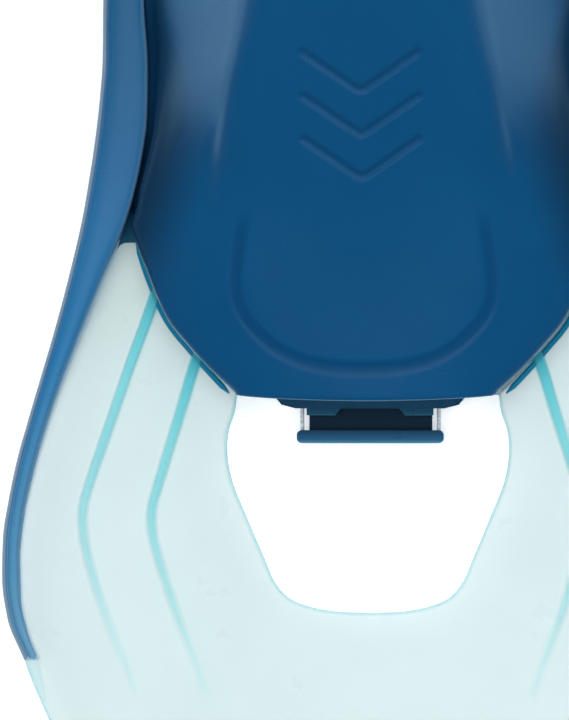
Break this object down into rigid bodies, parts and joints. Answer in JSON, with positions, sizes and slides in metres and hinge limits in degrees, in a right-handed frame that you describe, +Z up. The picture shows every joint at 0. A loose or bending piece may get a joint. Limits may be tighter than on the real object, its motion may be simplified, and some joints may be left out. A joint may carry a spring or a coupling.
{
  "type": "swim fin",
  "caption": "Adjustable snorkelling swim fin with a holed translucent blade, side rails, a closed-top foot pocket and a sliding heel cup held by a toe latch",
  "frame": {"origin": "middle of the footprint, on the floor that the outsole rests on", "axes": "+X to the wearer's right, +Y from the blade tip to the heel, +Z up"},
  "size_m": [0.202, 0.43, 0.094],
  "materials": {
    "blade": "translucent, smooth, satin gloss",
    "pocket_rubber": "satin moulded thermoplastic rubber",
    "rail_rubber": "satin moulded thermoplastic rubber, paler along its lip",
    "shell": "dark teal moulded nylon",
    "tray": "dark blue moulded nylon",
    "bar": "dark blue moulded acetal",
    "footbed": "soft ribbed foam rubber",
    "outsole": "grooved rubber",
    "steel": "stainless steel"
  },
  "bodies": {
    "fin": {"blade": "blade", "side_rail_left": "rail_rubber", "side_rail_right": "rail_rubber", "foot_pocket": "pocket_rubber", "under_shell_left": "shell", "under_shell_right": "shell", "sole_tray": "tray", "slider_cover": "tray", "cover_screws": "steel", "stop_pins": "steel", "footbed": "footbed", "outsole_pads": "outsole", "detent_spring": "steel"},
    "latch": {"lock_bar": "bar", "guide_rods": "steel"},
    "pawl": {"lock_pawl": "bar", "pawl_pin": "steel"},
    "heel": {"heel_slider": "tray", "heel_cup": "pocket_rubber", "heel_pad": "footbed", "heel_outsole": "outsole", "heel_screws": "steel", "heel_pull_tab": "pocket_rubber"}
  },
  "joints": [
    {"name": "heel_slide", "type": "slide", "parent": "fin", "child": "heel", "axis": [0, 1, 0], "range_m": [-0.014, 0.014]},
    {"name": "lock_bar_slide", "type": "slide", "parent": "fin", "child": "latch", "axis": [0, 1, 0], "range_m": [0, 0.004]},
    {"name": "lock_pawl_lift", "type": "slide", "parent": "fin", "child": "pawl", "axis": [0, 0, 1], "range_m": [0, 0.002]}
  ],
  "couplings": [
    {"joint": "lock_pawl_lift", "follows": "lock_bar_slide", "ratio": 0.5}
  ]
}
